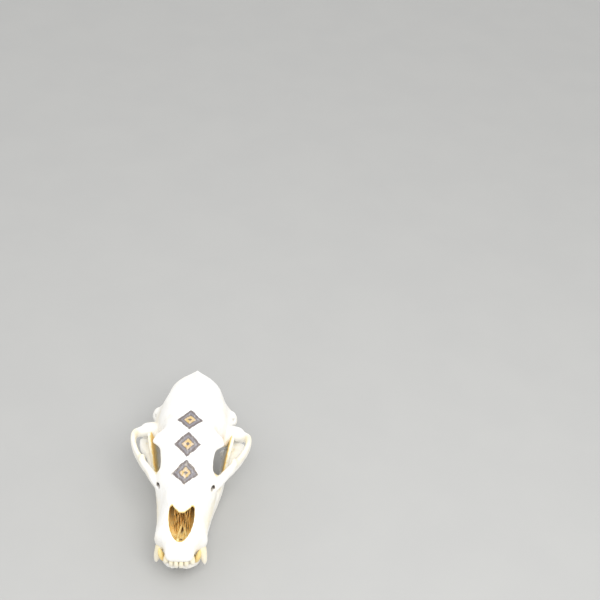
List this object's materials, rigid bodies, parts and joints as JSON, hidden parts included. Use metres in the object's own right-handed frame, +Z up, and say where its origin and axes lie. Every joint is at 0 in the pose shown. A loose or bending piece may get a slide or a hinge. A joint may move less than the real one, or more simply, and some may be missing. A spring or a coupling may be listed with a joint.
{
  "type": "animal skull",
  "caption": "Black bear skull, bleached, with its lower jaw closed and each tooth in its own socket.",
  "frame": {"origin": "centre of the bounding box, at the table the lower jaw stands on", "axes": "-Y is the way the nose points, +X is the animal's left, +Z is up"},
  "size_m": [0.1634, 0.2714, 0.1365],
  "materials": {
    "bone": "matte",
    "tooth": "satin"
  },
  "bodies": {
    "root": {"cranium": "bone", "mandible": "bone", "upper_incisor_1_left": "tooth", "upper_incisor_1_right": "tooth", "upper_incisor_2_left": "tooth", "upper_incisor_2_right": "tooth", "upper_incisor_3_left": "tooth", "upper_incisor_3_right": "tooth", "upper_canine_left": "tooth", "upper_canine_right": "tooth", "upper_premolar_1_left": "tooth", "upper_premolar_1_right": "tooth", "upper_premolar_3_left": "tooth", "upper_premolar_3_right": "tooth", "upper_premolar_4_left": "tooth", "upper_premolar_4_right": "tooth", "upper_molar_1_left": "tooth", "upper_molar_1_right": "tooth", "upper_molar_2_left": "tooth", "upper_molar_2_right": "tooth", "lower_incisor_1_left": "tooth", "lower_incisor_1_right": "tooth", "lower_incisor_2_left": "tooth", "lower_incisor_2_right": "tooth", "lower_incisor_3_left": "tooth", "lower_incisor_3_right": "tooth", "lower_canine_left": "tooth", "lower_canine_right": "tooth", "lower_premolar_1_left": "tooth", "lower_premolar_1_right": "tooth", "lower_premolar_4_left": "tooth", "lower_premolar_4_right": "tooth", "lower_molar_1_left": "tooth", "lower_molar_1_right": "tooth", "lower_molar_2_left": "tooth", "lower_molar_2_right": "tooth", "lower_molar_3_left": "tooth", "lower_molar_3_right": "tooth"}
  },
  "joints": []
}
